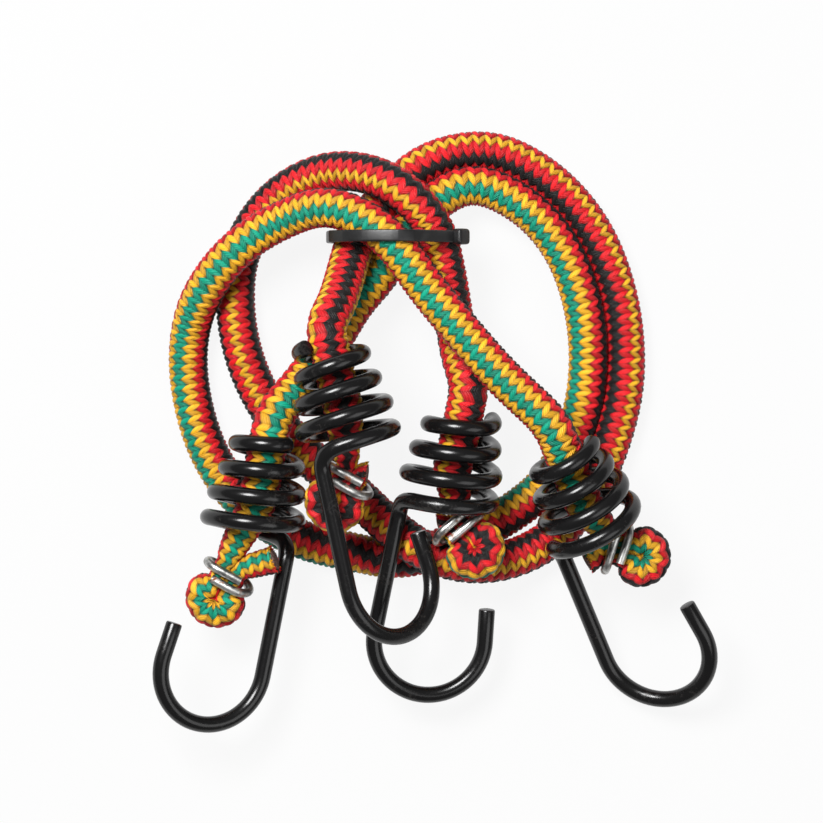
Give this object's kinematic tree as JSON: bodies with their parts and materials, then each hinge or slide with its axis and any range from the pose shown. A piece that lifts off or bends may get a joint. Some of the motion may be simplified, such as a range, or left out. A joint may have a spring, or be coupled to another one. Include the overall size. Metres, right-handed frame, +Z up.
{
  "type": "bungee cord",
  "caption": "Looped elastic cords with braided sheaths, and conical spring wire hooks wound on folded, ring-crimped ends, bundled by a cable tie.",
  "frame": {"origin": "on the table, under the middle of the bounding box", "axes": "+Z up from the table, -Y towards the hooks, +X to the right seen from above"},
  "size_m": [0.1124, 0.1202, 0.0383],
  "materials": {
    "braid": "braided polyester with lengthwise zigzag stripes",
    "rubber_core": "matte rubber strands",
    "coated_wire": "smooth black plastic coat",
    "zinc_wire": "galvanised wire with slight rust",
    "nylon": "moulded nylon"
  },
  "bodies": {
    "bundle": {"cord_p_loop_sheath": "braid", "cord_p_loop_core": "rubber_core", "cord_q_loop_sheath": "braid", "cord_q_loop_core": "rubber_core", "cable_tie": "nylon", "left_tail_sheath": "braid", "left_tail_core": "rubber_core", "right_tail_sheath": "braid", "right_tail_core": "rubber_core", "upper_tail_sheath": "braid", "upper_tail_core": "rubber_core", "middle_tail_sheath": "braid", "middle_tail_core": "rubber_core", "middle_folded_end_sheath": "braid", "middle_folded_end_core": "rubber_core", "middle_crimp_ring": "zinc_wire"},
    "left_end": {"left_folded_end_sheath": "braid", "left_folded_end_core": "rubber_core", "left_crimp_ring": "zinc_wire"},
    "left_wire_hook": {"left_hook": "coated_wire"},
    "right_end": {"right_folded_end_sheath": "braid", "right_folded_end_core": "rubber_core", "right_crimp_ring": "zinc_wire"},
    "right_wire_hook": {"right_hook": "coated_wire"},
    "upper_end": {"upper_folded_end_sheath": "braid", "upper_folded_end_core": "rubber_core", "upper_crimp_ring": "zinc_wire"},
    "upper_wire_hook": {"upper_hook": "coated_wire"},
    "middle_wire_hook": {"middle_hook": "coated_wire"}
  },
  "joints": [
    {"name": "left_stretch", "type": "slide", "parent": "bundle", "child": "left_end", "axis": [-0.1959, -0.9806, 0], "range_m": [0, 0.03], "stiffness_N_per_m": 3000, "deforming": ["left_tail_sheath", "left_tail_core"]},
    {"name": "left_swivel", "type": "hinge", "parent": "left_end", "child": "left_wire_hook", "pos_m": [-0.03306, -0.00068, 0.01957], "axis": [-0.1954, -0.9782, -0.0698], "range_deg": [-20, 60]},
    {"name": "right_stretch", "type": "slide", "parent": "bundle", "child": "right_end", "axis": [0.3862, -0.9224, 0], "range_m": [0, 0.03], "stiffness_N_per_m": 3000, "deforming": ["right_tail_sheath", "right_tail_core"]},
    {"name": "right_swivel", "type": "hinge", "parent": "right_end", "child": "right_wire_hook", "pos_m": [0.02425, -0.00207, 0.02451], "axis": [0.3673, -0.8773, -0.309], "range_deg": [-60, 20]},
    {"name": "upper_stretch", "type": "slide", "parent": "bundle", "child": "upper_end", "axis": [0.213, -0.9771, 0], "range_m": [0, 0.008], "stiffness_N_per_m": 3000, "deforming": ["upper_tail_sheath", "upper_tail_core"]},
    {"name": "upper_swivel", "type": "hinge", "parent": "upper_end", "child": "upper_wire_hook", "pos_m": [-0.02125, 0.01722, 0.02753], "axis": [0.213, -0.9769, 0.0175], "range_deg": [-8, 30]},
    {"name": "middle_swivel", "type": "hinge", "parent": "bundle", "child": "middle_wire_hook", "pos_m": [0.00595, 0.00529, 0.01844], "axis": [-0.198, -0.9703, -0.1392], "range_deg": [-8, 4]}
  ]
}
